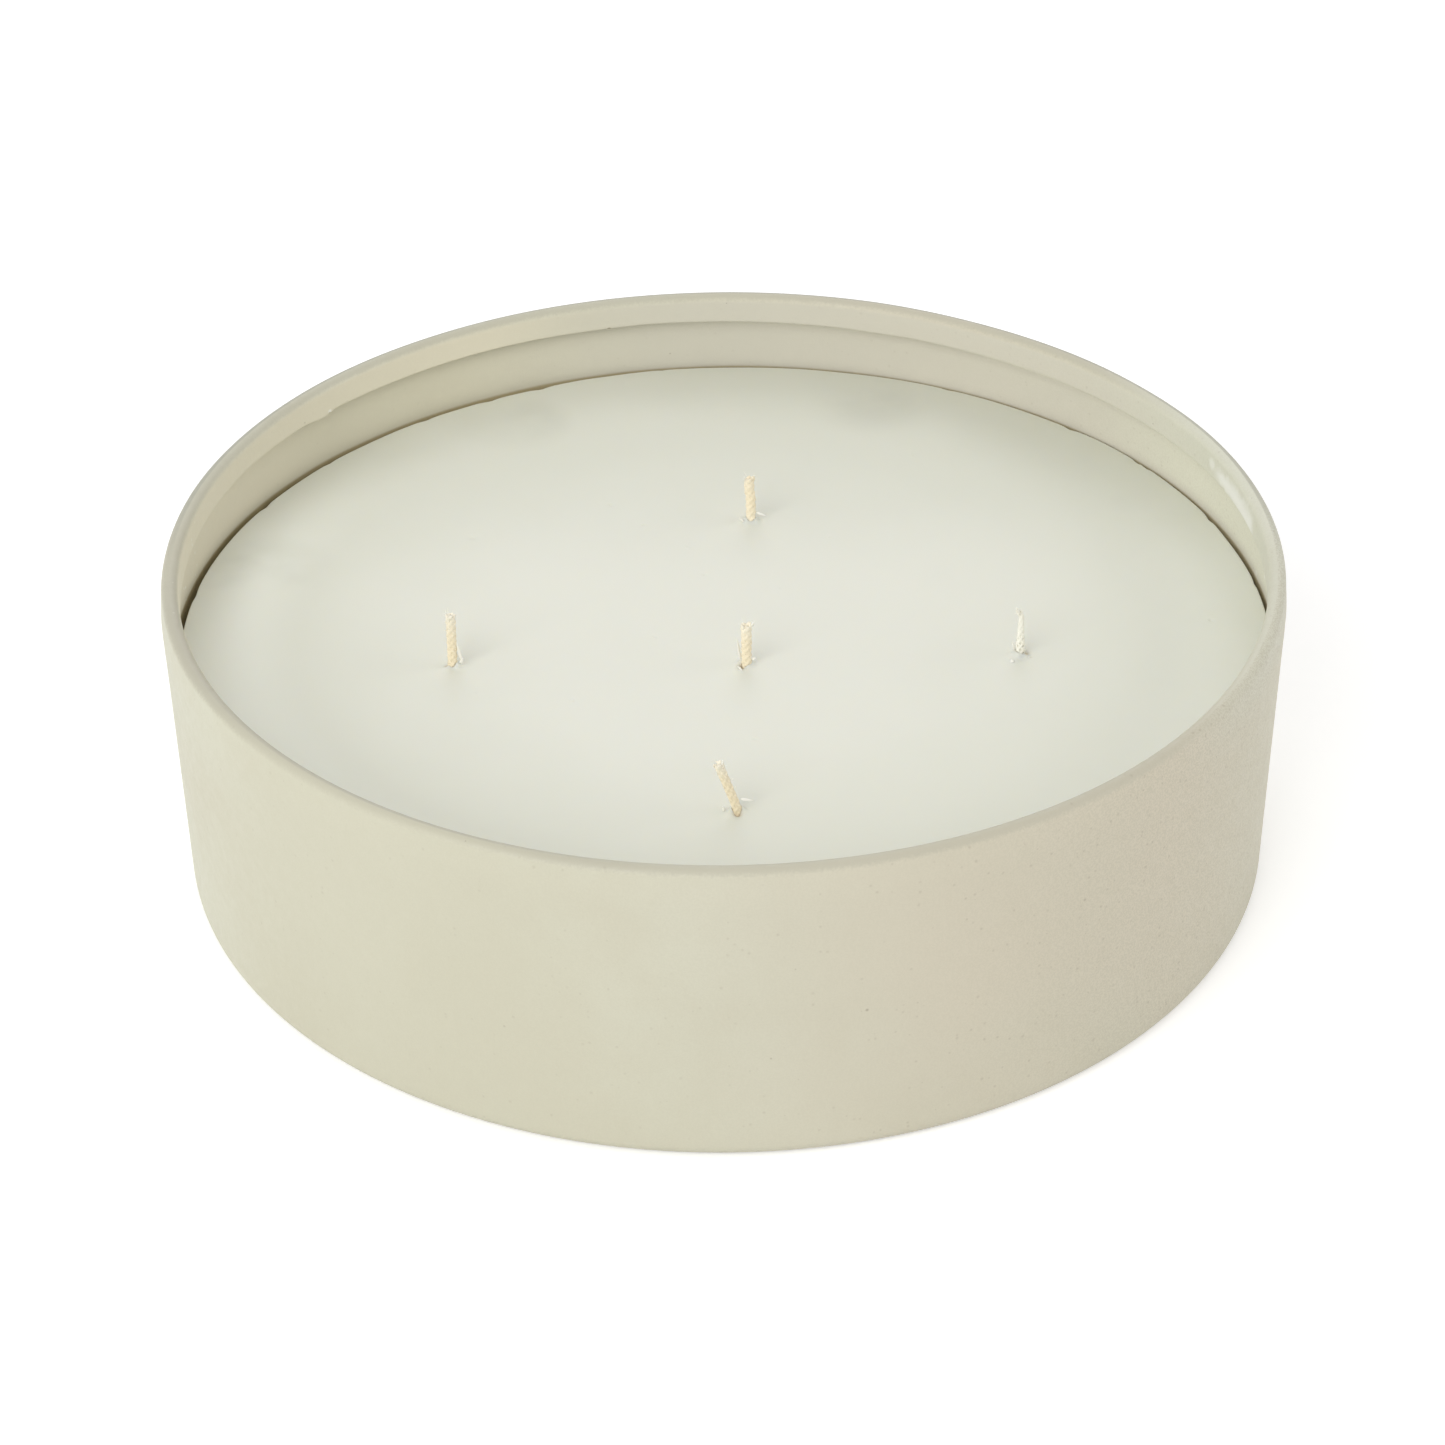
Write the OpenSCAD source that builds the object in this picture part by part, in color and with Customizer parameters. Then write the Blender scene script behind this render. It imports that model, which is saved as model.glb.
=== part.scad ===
// Candle poured into a shallow spun metal bowl, with a cross of braided wicks standing in the wax.
// Millimetres, +Z up, -Y to the front. The origin is the middle of the underside,
// on the surface that the bowl stands on.

/* [Bowl] */
// Outer diameter at the rim
rim_d = 250; // [200:1:320]
// Height from the standing surface to the top of the rim
bowl_h = 74; // [62:0.5:100]
// Thickness of the metal sheet
sheet_t = 1; // [0.8:0.1:1.2]
// Lean of the wall outwards from upright, in degrees
wall_lean = 1.5; // [0:0.1:4]
// Outer radius of the bend between base and wall
base_bend_r = 3; // [2.8:0.1:6]
// Width of the flat ring that the bowl stands on
stand_ring_w = 9; // [4:0.5:20]
// Height of the middle of the base above the standing ring
panel_rise = 0.8; // [0.4:0.1:1.2]
// Width of the slope between standing ring and raised middle
panel_slope_w = 3; // [2:0.5:6]

/* [Rim hem] */
// Thickness of the folded rim over both layers and the space between them
hem_w = 4.1; // [3:0.1:5]
// Height of the folded-in layer, from the top of the rim to its cut edge
hem_h = 7.2; // [5:0.1:14]

/* [Wax] */
// Distance from the top of the rim down to the wax
wax_drop = 20.7; // [18:0.1:30]
// Gap at the wall, which the wax left as it shrank
shrink_gap = 1.1; // [0.5:0.1:1.5]
// Rounding of the wax's upper edge
wax_edge_r = 0.5; // [0.4:0.1:2]
// Radius of the small fillet where the wax climbs a wick
wax_climb_r = 0.8; // [0.4:0.1:1.5]

/* [Wicks] */
// Thickness of a wick
wick_d = 2.2; // [1.6:0.1:3]
// Height of a wick above the wax
stub_h = 12.6; // [6:0.2:18]
// Depth of the valleys between the strands of the braid
strand_depth = 0.22; // [0:0.02:0.3]
// Length along the wick after which the braid repeats
braid_pitch = 3; // [2:0.5:6]
// Distance from the middle wick to those round it
wick_ring_r = 61; // [40:1:72]
// Sideways place of the middle wick
cross_x = 3.5; // [-10:0.5:10]
// Front-to-back place of the middle wick
cross_y = -15; // [-16:0.5:16]

/* [Wick tabs] */
// Diameter of a tab's flange
tab_d = 16; // [12:0.5:20]
// Thickness of a tab's sheet
tab_t = 0.3; // [0.25:0.05:0.5]
// Diameter of the cone that rises from the flange
cone_d = 8; // [6:0.5:10]
// Rise of the cone from the flange to the neck
cone_h = 0.9; // [0.5:0.1:1.5]
// Height of the neck that is crimped on the wick
neck_h = 4; // [3:0.5:8]
// Radius of the tool that presses the crimps
crimp_r = 0.7; // [0.4:0.1:1]
// Depth of a crimp
crimp_depth = 0.15; // [0.05:0.05:0.2]
// Diameter of the adhesive dot under a tab
dot_d = 13; // [9:0.5:16]
// Thickness of the adhesive dot
dot_t = 0.8; // [0.5:0.1:1.5]
// Clearance round a wick in its tab, and round all that is set in the wax
set_gap = 0.05; // [0.02:0.01:0.1]

/* [Hidden] */

// Smoothness of the large and the small round forms
BOWL_FN = 240;
SMALL_FN = 48;

// Each wick: its direction from the middle one, how far it was set off its place by hand as a share
// of wick_ring_r, how far it leans to the right and to the back in degrees, and its height as a share of stub_h
BACK = [[0, 1], [0.057, 0.008], [-1, 1.4], 1.01];
LEFT = [[-1, 0], [-0.041, 0], [1, 1], 1.08];
MIDDLE = [[0, 0], [0.013, -0.041], [1.6, -1], 0.94];
RIGHT = [[1, 0], [0.025, 0.008], [-5.6, 1.9], 1.04];
FRONT = [[0, -1], [-0.016, 0.033], [-15.9, 1.4], 1.05];
WICKS = [BACK, LEFT, MIDDLE, RIGHT, FRONT];

// Sides of a wick's section, strands that cross in its braid, and rings in one repeat of the braid
WICK_SIDES = 12;
STRANDS = 3;
RINGS_PER_PITCH = 6;
// Height and width of the rounded-over end of a wick, as shares of its radius
TIP_RISE = 0.3;
TIP_W = 0.6;

// The wall runs up along wall_dir, and out_dir is square to it, away from the bowl's axis
wall_dir = [sin(wall_lean), cos(wall_lean)];
out_dir = [cos(wall_lean), -sin(wall_lean)];

// Centre of the rim's round top, seen in the half section
hem_r = hem_w / 2;
hem_c = [rim_d / 2 - hem_r, bowl_h - hem_r];
// Centre of the bend at the foot of the wall
wall_run = (hem_c[1] - base_bend_r - (hem_r - base_bend_r) * sin(wall_lean)) / cos(wall_lean);
base_c = hem_c + (hem_r - base_bend_r) * out_dir - wall_run * wall_dir;
// Edges of the slope in the base, the floor inside the bowl, and the inner radius of the bend
slope_r = base_c[0] - stand_ring_w;
panel_r = slope_r - panel_slope_w;
floor_z = panel_rise + sheet_t;
foot_r = base_bend_r - sheet_t;

// Wax: its level, its foot beside the bend, and the rounding at its upper edge
wax_z = bowl_h - wax_drop;
foot_c = base_c - [shrink_gap / cos(wall_lean), 0];
edge_run = (wax_z - wax_edge_r - base_bend_r + (foot_r - wax_edge_r) * sin(wall_lean)) / cos(wall_lean);
edge_c = foot_c + (foot_r - wax_edge_r) * out_dir + edge_run * wall_dir;

// Tabs and wicks, from the bowl's floor upwards
wick_r = wick_d / 2;
hole_r = wick_r + set_gap;
neck_r = hole_r + tab_t;
tab_z = floor_z + dot_t;
neck_top = cone_h + neck_h;

function wick_place(w) = [cross_x, cross_y] + wick_ring_r * (w[0] + w[1]);

// Half section of all that the sheet's outer face encloses, from base to rim
module outer_section() {
    polygon([[0, panel_rise], [panel_r, panel_rise], [slope_r, 0], [base_c[0], 0], base_c + base_bend_r * out_dir,
             hem_c + hem_r * out_dir, hem_c - hem_r * out_dir, [0, hem_c[1]]]);
    translate(base_c) circle(base_bend_r, $fn = SMALL_FN);
    translate(hem_c) circle(hem_r, $fn = SMALL_FN);
}

// Half section of the room inside: that of the bowl, and the narrow one between the wall and the folded-in
// layer, which hangs down from the rolled rim to its cut edge
module room_section() {
    layer_face = hem_c - hem_r * out_dir;
    layer_back = layer_face + sheet_t * out_dir;
    layer_drop = (hem_h - hem_r) * wall_dir;
    polygon([[0, floor_z], [panel_r, floor_z], [slope_r, sheet_t], [base_c[0], sheet_t],
             base_c + foot_r * out_dir, hem_c + (hem_r - sheet_t) * out_dir, layer_back,
             layer_back - layer_drop, layer_face - layer_drop, layer_face + hem_w * wall_dir,
             [0, bowl_h + hem_w]]);
    translate(base_c) circle(foot_r, $fn = SMALL_FN);
    translate(hem_c) circle(hem_r - sheet_t, $fn = SMALL_FN);
}

// Half section of the wax, which rests on the floor and stands clear of the wall
module wax_section() {
    polygon([[0, floor_z], [panel_r, floor_z], [slope_r, sheet_t], [foot_c[0], sheet_t],
             foot_c + foot_r * out_dir, edge_c + wax_edge_r * out_dir, [edge_c[0], wax_z], [0, wax_z]]);
    translate(foot_c) circle(foot_r, $fn = SMALL_FN);
    translate(edge_c) circle(wax_edge_r, $fn = SMALL_FN);
}

// Half section of the hollow that a dot, its tab and its wick take up in the wax
module hollow_section() {
    flange_top = tab_z + tab_t + set_gap;
    over = bowl_h;
    polygon([[0, 0], [tab_d / 2 + set_gap, 0], [tab_d / 2 + set_gap, flange_top],
             [cone_d / 2 + set_gap, flange_top], [neck_r + set_gap, flange_top + cone_h],
             [neck_r + set_gap, tab_z + neck_top + set_gap], [hole_r, tab_z + neck_top + set_gap],
             [hole_r, over], [0, over]]);
}

// Half section of the fillet where the wax climbs a wick
module climb_section() {
    difference() {
        translate([0, wax_z - wax_climb_r]) square([hole_r + wax_climb_r, 2 * wax_climb_r]);
        translate([hole_r + wax_climb_r, wax_z + wax_climb_r]) circle(wax_climb_r, $fn = SMALL_FN);
    }
}

// Spun sheet bowl with a powder coat
module bowl() {
    color("#d4d2bd") rotate_extrude($fn = BOWL_FN) difference() {
        outer_section();
        room_section();
    }
}

// Poured wax with the hollows of the wicks and their tabs
module wax() {
    color("#dedecb") difference() {
        union() {
            rotate_extrude($fn = BOWL_FN) wax_section();
            for (w = WICKS) translate(wick_place(w)) rotate_extrude($fn = SMALL_FN) climb_section();
        }
        for (w = WICKS) translate(wick_place(w)) rotate_extrude($fn = SMALL_FN) hollow_section();
    }
}

// Height of the strands over the valleys, from 0 to 1: two sets of strands wind opposite ways
function weave(a, z) =
    let (turn = 360 * z / braid_pitch)
    0.5 + 0.5 * max(cos(STRANDS * a + turn), cos(STRANDS * a - turn));

// One ring of a wick at height z, with its middle at p, its radius r and its valleys depth deep
function wick_ring(p, z, r, depth) =
    [for (k = [0 : WICK_SIDES - 1])
        let (a = 360 * k / WICK_SIDES, reach = r - depth * (1 - weave(a, z)))
        [p[0] + reach * cos(a), p[1] + reach * sin(a), z]];

// Braided wick: upright and round where tab and wax grip it, braided and leaning above
module wick(w) {
    place = wick_place(w);
    grip_z = wax_z + wax_climb_r;
    tip_z = wax_z + stub_h * w[3];
    lean = (tip_z - grip_z) * [tan(w[2][0]), tan(w[2][1])];
    rings = ceil((tip_z - grip_z) / braid_pitch * RINGS_PER_PITCH);
    free = [for (i = [1 : rings])
        let (s = i / rings)
        wick_ring(place + lean * s * (1 + s) / 2, grip_z + (tip_z - grip_z) * s, wick_r, strand_depth)];
    all_rings = concat([wick_ring(place, tab_z, wick_r, 0), wick_ring(place, grip_z, wick_r, 0)], free,
                       [wick_ring(place + lean, tip_z + TIP_RISE * wick_r, TIP_W * wick_r, 0)]);
    last = len(all_rings) - 1;
    color("#ecddbc") polyhedron(
        points = [for (ring = all_rings) each ring],
        faces = concat(
            [[for (k = [0 : WICK_SIDES - 1]) k]],
            [for (i = [0 : last - 1], k = [0 : WICK_SIDES - 1])
                let (m = (k + 1) % WICK_SIDES)
                each [[i * WICK_SIDES + k, (i + 1) * WICK_SIDES + k, (i + 1) * WICK_SIDES + m],
                      [i * WICK_SIDES + k, (i + 1) * WICK_SIDES + m, i * WICK_SIDES + m]]],
            [[for (k = [WICK_SIDES - 1 : -1 : 0]) last * WICK_SIDES + k]]));
}

// Pressed steel tab: a flange, a low cone and a neck crimped on the wick from four sides
module tab(w) {
    crimp_z = neck_top - 2 * crimp_r;
    color("#b9bbbd") translate(concat(wick_place(w), tab_z)) difference() {
        rotate_extrude($fn = SMALL_FN)
            polygon([[tab_d / 2, 0], [tab_d / 2, tab_t], [cone_d / 2, tab_t], [neck_r, cone_h + tab_t],
                     [neck_r, neck_top], [hole_r, neck_top], [hole_r, cone_h], [cone_d / 2, 0]]);
        for (a = [0 : 90 : 270])
            rotate(a) translate([neck_r - crimp_depth + crimp_r, 0, crimp_z]) rotate([90, 0, 0])
                cylinder(r = crimp_r, h = 2 * neck_r, center = true, $fn = SMALL_FN);
    }
}

// Adhesive dot that holds a tab to the floor of the bowl
module dot(w) {
    color("#e9e6df") translate(concat(wick_place(w), floor_z)) cylinder(d = dot_d, h = dot_t, $fn = SMALL_FN);
}

bowl();
wax();
wick(BACK);  // wick_back
wick(LEFT);  // wick_left
wick(MIDDLE);  // wick_middle
wick(RIGHT);  // wick_right
wick(FRONT);  // wick_front
tab(BACK);  // tab_back
tab(LEFT);  // tab_left
tab(MIDDLE);  // tab_middle
tab(RIGHT);  // tab_right
tab(FRONT);  // tab_front
dot(BACK);  // dot_back
dot(LEFT);  // dot_left
dot(MIDDLE);  // dot_middle
dot(RIGHT);  // dot_right
dot(FRONT);  // dot_front
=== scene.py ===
import bmesh
import bpy
import numpy as np
from mathutils import Matrix, Vector
from mathutils.geometry import delaunay_2d_cdt


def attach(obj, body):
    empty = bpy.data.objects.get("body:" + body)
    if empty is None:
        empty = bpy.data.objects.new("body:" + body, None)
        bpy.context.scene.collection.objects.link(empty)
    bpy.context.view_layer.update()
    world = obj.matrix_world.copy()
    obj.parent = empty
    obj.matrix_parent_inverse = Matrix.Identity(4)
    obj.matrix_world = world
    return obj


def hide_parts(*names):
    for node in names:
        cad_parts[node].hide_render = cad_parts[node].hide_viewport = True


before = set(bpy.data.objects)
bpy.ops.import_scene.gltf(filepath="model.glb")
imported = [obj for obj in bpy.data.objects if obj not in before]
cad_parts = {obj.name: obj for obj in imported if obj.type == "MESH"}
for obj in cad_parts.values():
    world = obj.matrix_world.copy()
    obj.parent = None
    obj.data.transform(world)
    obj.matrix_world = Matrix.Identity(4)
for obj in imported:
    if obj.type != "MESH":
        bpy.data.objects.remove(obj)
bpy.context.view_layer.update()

# Bowl
# One round of 1 mm sheet steel, spun over a form into base, bend and wall. The rim is rolled inwards and
# folded down into an open hem, so its cut edge shows inside. A pale stone-coloured powder, baked on after
# the forming, covers it all over and rounds every edge a little.
MM = 0.001
SHEET = 1.0
BOWL_H = 74.0
WALL_LEAN = np.radians(1.77)
WALL_FOOT_R = 123.02
BEND_R = 3.0
STAND_RING_W = 9.0
PANEL_RISE = 0.8
PANEL_SLOPE_W = 3.0
CROWN_R = 1.88
LAYER_FACE_R = 120.9
LAYER_LEAN = np.radians(1.0)
HEM_H = 7.2
COATED_EDGE_R = 0.32
BOWL_STEPS = 480
CROWN_STEPS = 24
DRAWN_IN_Z = (66.0, 73.5)
NOTCH_AZIMUTH = 140.6
NICK_DEPTH = 0.9
BURR_H = 0.5
# Height of the hem's cut edge round the bowl: degrees from the right, anticlockwise seen from above
HEM_EDGE = ((0, 66.8), (62, 66.6), (68, 66.65), (71, 66.5), (77, 66.7), (92, 66.9), (98, 67.05),
            (104, 66.95), (119, 67.15), (132, 67.0), (144, 67.2), (156, 67.3), (172, 67.0), (200, 66.8),
            (270, 66.8), (330, 66.8))
# How far the bowl stands out beyond a true circle, by azimuth: at the rim, and at the height of the wax
RIM_SHAPE = ((0, 0.05), (20, 0.05), (40, -0.45), (58, -0.75), (75, -0.3), (90, -0.2), (120, 0.1),
             (142, 0.45), (160, 0.4), (180, 0.1), (270, 0.0), (330, 0.1))
BELLY_SHAPE = ((0, 0.0), (22, 0.35), (42, 0.5), (66, 0.55), (84, 0.3), (98, 0.0), (108, -0.3),
               (118, -0.7), (132, -0.6), (142, -0.2), (155, 0.0), (270, 0.0))
crown_centre = np.array([LAYER_FACE_R + CROWN_R, BOWL_H - CROWN_R])
bend_centre = np.array([WALL_FOOT_R + BEND_R * np.tan(WALL_LEAN) - BEND_R / np.cos(WALL_LEAN), BEND_R])


def arc(centre, radius, start, end, count):
    """Points on a circle: centre plus radius times (cos, sin) of an angle that runs from start to end."""
    a = np.radians(np.linspace(start, end, count))
    return np.asarray(centre) + radius * np.stack([np.cos(a), np.sin(a)], 1)


def line(start, end, count):
    """Evenly spaced points from start to end."""
    t = np.linspace(0, 1, count)[:, None]
    return np.asarray(start) * (1 - t) + np.asarray(end) * t


def smooth(x, low, high):
    """0 below low, 1 above high, and an even S-curve 3t^2 - 2t^3 between them."""
    t = np.clip((x - low) / (high - low), 0, 1)
    return t * t * (3 - 2 * t)


def round_trip(azimuth, table):
    """Value at an azimuth in degrees: an S-curve between (azimuth, value) pairs that close on themselves."""
    knots, values = np.array(table, float).T
    knots, values = np.append(knots, knots[0] + 360), np.append(values, values[0])
    a = (azimuth - knots[0]) % 360 + knots[0]
    i = np.clip(np.searchsorted(knots, a, "right") - 1, 0, len(knots) - 2)
    t = smooth(a, knots[i], knots[i + 1])
    return values[i] * (1 - t) + values[i + 1] * t


def lathe_faces(rings, steps):
    """Quads between neighbouring rings of points; a ring has steps points and closes on itself."""
    i, j = np.meshgrid(np.arange(rings - 1), np.arange(steps), indexing="ij")
    along = (j + 1) % steps
    quads = np.stack([i * steps + j, i * steps + along, (i + 1) * steps + along, (i + 1) * steps + j], -1)
    return quads.reshape(-1, 4)


def fan(pole, ring):
    """Triangles from a pole to each step of a ring of point numbers."""
    return np.stack([np.full(len(ring), pole), ring, np.roll(ring, -1)], 1)


def in_scene(name, data):
    """New object in the scene, at the origin."""
    made = bpy.data.objects.new(name, data)
    bpy.context.scene.collection.objects.link(made)
    return made


def new_piece(name, points, faces, material, **attributes):
    """Smooth-shaded object from points in millimetres, face arrays and point attributes, its seams closed."""
    mesh = bpy.data.meshes.new(name)
    mesh.from_pydata((np.asarray(points) * MM).tolist(), [], [f for part in faces for f in part.tolist()])
    for label, values in attributes.items():
        mesh.attributes.new(label, "FLOAT", "POINT").data.foreach_set("value", np.asarray(values, np.float32))
    work = bmesh.new()
    work.from_mesh(mesh)
    bmesh.ops.remove_doubles(work, verts=work.verts, dist=1e-6)
    work.to_mesh(mesh)
    work.free()
    mesh.shade_smooth()
    mesh.materials.append(material)
    return in_scene(name, mesh)


def node(tree, kind, inputs=(), **settings):
    """Adds a shader node: inputs maps an input's name or number to a value or to the output that feeds it."""
    made = tree.nodes.new("ShaderNode" + kind)
    for key, value in settings.items():
        setattr(made, key, value)
    for key, value in dict(inputs).items():
        if isinstance(value, bpy.types.NodeSocket):
            tree.links.new(value, made.inputs[key])
        else:
            made.inputs[key].default_value = value
    return made


def sums(tree, operation, *values):
    """Output of one Math node; a tuple stands for the ramp with its values."""
    values = [ramp(tree, *value) if isinstance(value, tuple) else value for value in values]
    return node(tree, "Math", enumerate(values), operation=operation).outputs[0]


def ramp(tree, value, low, high, start=0.0, end=1.0):
    """Output that runs smoothly from start to end while value goes from low to high."""
    limits = {0: value, 1: low, 2: high, 3: start, 4: end}
    return node(tree, "MapRange", limits, interpolation_type="SMOOTHSTEP").outputs[0]


def product(tree, *factors):
    """Output of the Math nodes that multiply all the factors, with tuples as in sums."""
    result = factors[0]
    for factor in factors[1:]:
        result = sums(tree, "MULTIPLY", result, factor)
    return result


def noise(tree, place, scale, detail, roughness=0.5):
    """Height of a Noise node."""
    inputs = {"Vector": place, "Scale": scale, "Detail": detail, "Roughness": roughness}
    return node(tree, "TexNoise", inputs).outputs[0]


def tint(tree, mask, below, above):
    """Colour that goes from below to above with the mask; a plain colour is given as red, green and blue."""
    below, above = ((*c, 1.0) if isinstance(c, tuple) else c for c in (below, above))
    return node(tree, "Mix", {0: mask, 6: below, 7: above}, data_type="RGBA").outputs[2]


def bump(tree, height, distance, strength, under=None, **settings):
    """Normal from a height, on top of the normal under it, if there is one."""
    inputs = {"Height": height, "Distance": distance, "Strength": strength}
    if under is not None:
        inputs["Normal"] = under
    return node(tree, "Bump", inputs, **settings).outputs[0]


def point_value(tree, label):
    """Value that the mesh keeps for each point under a label."""
    return node(tree, "Attribute", attribute_name=label, attribute_type="GEOMETRY").outputs["Fac"]


def empty_tree(owner):
    """Node tree of a new material or world, with nothing in it."""
    owner.use_nodes = True
    owner.node_tree.nodes.clear()
    return owner.node_tree


def new_material(name, **settings):
    """Material, its tree, its Principled shader with even values on its sockets, and Object coordinates."""
    material = bpy.data.materials.new(name)
    tree = empty_tree(material)
    shader = node(tree, "BsdfPrincipled", {key.replace("_", " "): value for key, value in settings.items()})
    node(tree, "OutputMaterial", {"Surface": shader.outputs[0]})
    return material, tree, shader, node(tree, "TexCoord").outputs["Object"]


def finish_shader(tree, shader, colour, roughness, normal):
    """Links colour, roughness and normal to a shader."""
    for label, value in (("Base Color", colour), ("Roughness", roughness), ("Normal", normal)):
        tree.links.new(value, shader.inputs[label])


def speckle_group():
    """Node group: fine grain as a height, sparse round specks as a mask, and slow clouds."""
    group = bpy.data.node_groups.new("fine grain and specks", "ShaderNodeTree")
    for label, kind in (("Vector", "Vector"), ("Grain Scale", "Float"), ("Speck Scale", "Float"),
                        ("Speck Radius", "Float"), ("Speck Share", "Float")):
        group.interface.new_socket(label, in_out="INPUT", socket_type="NodeSocket" + kind)
    for label in ("Grain", "Specks", "Clouds"):
        group.interface.new_socket(label, in_out="OUTPUT", socket_type="NodeSocketFloat")
    source = group.nodes.new("NodeGroupInput").outputs
    place = source["Vector"]
    grain = noise(group, place, source["Grain Scale"], 3.0, 0.6)
    cells = node(group, "TexVoronoi", {"Vector": place, "Scale": source["Speck Scale"]}).outputs
    pick = node(group, "SeparateColor", {0: cells["Color"]}).outputs
    chosen = sums(group, "LESS_THAN", pick[0], source["Speck Share"])
    size = product(group, source["Speck Radius"], (pick[1], 0.0, 1.0, 0.5, 1.2))
    near = sums(group, "SUBTRACT", 1.0, (cells["Distance"], 0.0, size))
    clouds = noise(group, place, 18.0, 4.0, 0.55)
    result = group.nodes.new("NodeGroupOutput").inputs
    for label, value in (("Grain", grain), ("Specks", product(group, chosen, near)), ("Clouds", clouds)):
        group.links.new(value, result[label])
    return group


def grain_of(tree, place, *amounts):
    """Places the grain group; amounts are its grain scale, speck scale, speck radius and speck share."""
    return node(tree, "Group", enumerate((place, *amounts)), node_tree=speckle).outputs


def spot(tree, place, centre, core, reach):
    """Soft round mask: 1 within core of a point in metres, 0 beyond reach."""
    away = node(tree, "VectorMath", {0: place, 1: centre}, operation="DISTANCE").outputs["Value"]
    return ramp(tree, away, reach, core)


speckle = speckle_group()
# Heights in metres between which a tone of the coat comes in: over the wax, and below the hem's cut edge
OVER_WAX = (0.053, 0.056)
UNDER_HEM = (0.0672, 0.0664)
# Single marks, each with its place, core and reach in metres
ROUGH_PATCH = ((0.1035, 0.0640, 0.0665), 0.0015, 0.004)
HEM_HOLE = ((-0.0276, 0.1176, 0.0668), 0.0003, 0.0008)
NOTCH_CRUMB = ((-0.0937, 0.0770, 0.0672), 0.0002, 0.0008)
PALE_DAB = ((0.1133, 0.0420, 0.0702), 0.0006, 0.0021)
WAX_CRUMB_TONE = (0.90, 0.89, 0.82)


def stone(tree, place, x, z, inside, clouds):
    """Stone colour in faint clouds, warmer in patches on the right, and painted bounce light that makes the
    inner wall paler and yellower.
    """
    colour = tint(tree, ramp(tree, clouds, 0.35, 0.65), (0.606, 0.584, 0.458), (0.636, 0.628, 0.504))
    warmth = product(tree, (noise(tree, place, 9.0, 2.0), 0.3, 0.7),
                     (x, -0.05, 0.08, 0.1, 1.0), (x, 0.095, 0.120, 1.0, 0.4))
    colour = tint(tree, warmth, colour, (0.645, 0.588, 0.465))
    # Painted bounce light: the inner wall is made paler and yellower, as light bounced from the wax would
    # warm it.
    painted_bounce_light_inside = tint(tree, ramp(tree, x, -0.08, 0.0), (0.675, 0.640, 0.500), (0.650, 0.624, 0.540))
    return tint(tree, product(tree, inside, (z, 0.0732, 0.0720, 0.0, 0.8)), colour, painted_bounce_light_inside)


def thin_crown(tree, colour, x, y, z, grain):
    """Darker line along the crown, where the powder flows thin, with painted shade that makes it strongest at
    the front left.
    """
    uneven = ramp(tree, grain, 0.3, 0.7, -0.0002, 0.0002)
    # Painted shade: the line is darkened more at the front left, where the lamp falls strongest on the crown.
    painted_shade_front_left = product(tree, (x, 0.0, -0.06, 0.0, 0.35), (y, 0.0, -0.03))
    thin = product(tree, (sums(tree, "ADD", z, uneven), 0.0723, 0.0736, 0.0, 0.65),
                   (x, 0.085, 0.120, 1.0, 0.3), sums(tree, "ADD", painted_shade_front_left, 1.0))
    return tint(tree, thin, colour, (0.46, 0.44, 0.35))


def side_tones(tree, colour, x, y, z, azimuth, inside, outside):
    """Tone from side to side: painted shade under the wax and on the outer wall at the front left, painted
    warm light inside at the left, painted light inside at the right, and a paler, greyer top at the right.
    """
    # Painted shade: the inner wall below the wax's top is made dark amber, as the deep gap beside the wax
    # shades it.
    painted_shade_below_wax = product(tree, inside, (z, 0.0533, 0.0525, 0.0, 0.7))
    colour = tint(tree, painted_shade_below_wax, colour, (0.36, 0.27, 0.10))
    # Painted light: the hem at the back left and the inner wall at the left are made paler and warmer, as
    # light bounced from the wax would make them.
    painted_light_left_hem = product(tree, (x, -0.030, -0.062, 0.0, 0.7), (z, 0.0660, 0.0670), (y, 0.0, 0.03))
    painted_light_left_side = product(tree, sums(tree, "MAXIMUM", (x, -0.092, -0.118, 0.0, 0.8), painted_light_left_hem),
                        inside, (z, *OVER_WAX), (z, 0.0734, 0.0720))
    colour = tint(tree, painted_light_left_side, colour, (0.76, 0.71, 0.565))
    # Painted light: the inner wall at the right is made paler, most of all below the hem's cut edge.
    painted_light_right_wall = product(tree, (x, 0.085, 0.118), (azimuth, -10.0, 4.0), (z, *OVER_WAX, 0.0, 0.9),
                        sums(tree, "MAXIMUM", inside, (z, 0.0700, 0.0725)))
    painted_light_right_tone = tint(tree, ramp(tree, z, 0.0655, 0.0675), (0.735, 0.728, 0.602), (0.665, 0.665, 0.555))
    colour = tint(tree, painted_light_right_wall, colour, painted_light_right_tone)
    right_crown = product(tree, (x, 0.090, 0.120), (z, 0.060, 0.073, 0.0, 0.5),
                          sums(tree, "MAXIMUM", outside, (azimuth, 2.0, -8.0)))
    colour = tint(tree, right_crown, colour, (0.660, 0.670, 0.570))
    # Painted shade: the outer wall at the front left is made darker, against the strong lamp light there.
    painted_shade_left_front = product(tree, (x, -0.02, -0.06), (x, -0.118, -0.09, 0.0, 0.7), outside)
    return tint(tree, painted_shade_left_front, colour, (0.575, 0.555, 0.430))


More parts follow.
